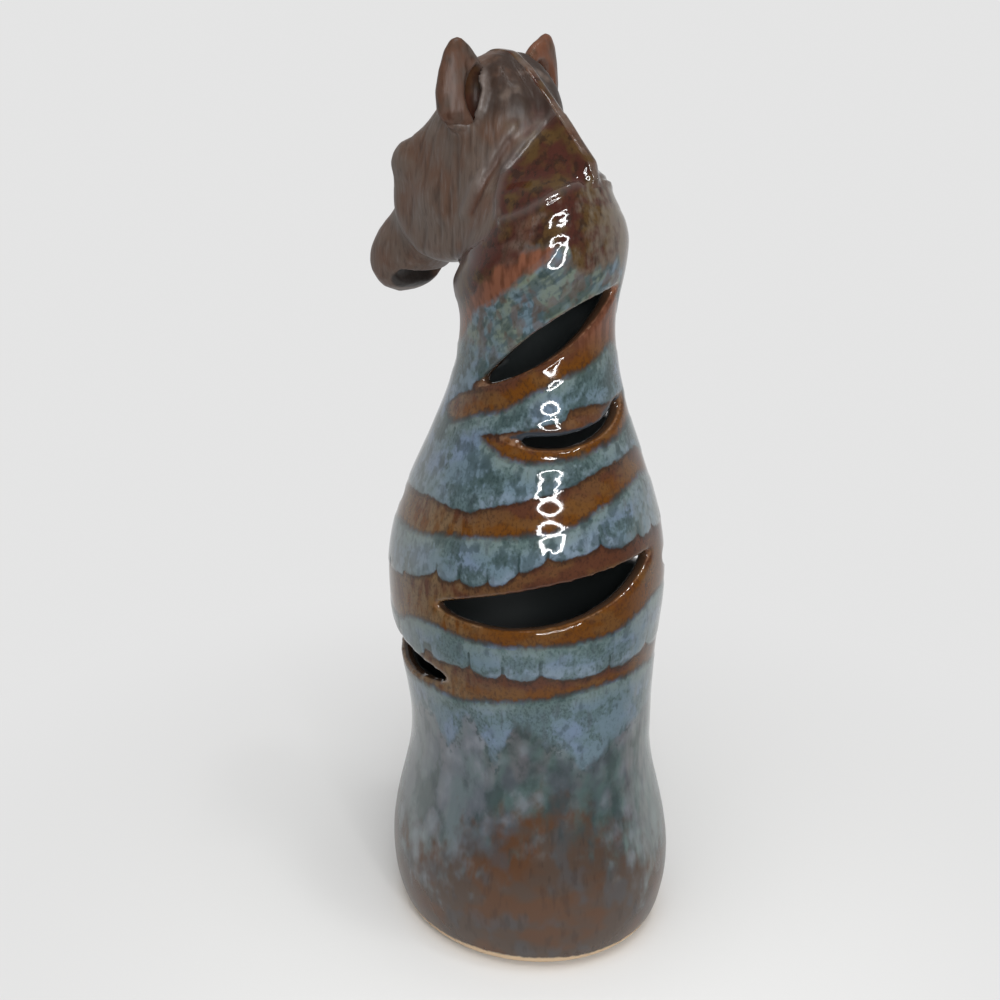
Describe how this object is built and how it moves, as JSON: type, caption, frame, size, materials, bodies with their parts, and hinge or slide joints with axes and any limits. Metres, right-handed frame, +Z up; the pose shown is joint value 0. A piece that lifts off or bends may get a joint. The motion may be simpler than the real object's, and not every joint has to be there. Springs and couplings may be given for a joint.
{
  "type": "ceramic zebra figurine",
  "caption": "Hollow glazed stoneware bust of a zebra on an open-footed rounded body, with stripes cut through the wall; a free-standing ornament that can glow from inside",
  "frame": {"origin": "on the ground, in the middle of the footprint of the bounding box", "axes": "+Z up, the zebra faces -Y, its left side is +X"},
  "size_m": [0.0946, 0.123, 0.3025],
  "materials": {
    "blue_brown_glaze": "runny reactive glaze, steel blue and grey-green over brown bands, glossy, bare cream clay at the foot",
    "brown_glaze": "glossy grey-brown to red-brown glaze over carved clay",
    "dark_glaze": "glossy near-black glaze"
  },
  "bodies": {
    "root": {"body_shell": "blue_brown_glaze", "head_shell": "brown_glaze", "left_ear": "brown_glaze", "right_ear": "brown_glaze", "mane_strip": "brown_glaze", "left_eye": "dark_glaze", "right_eye": "dark_glaze"}
  },
  "joints": []
}
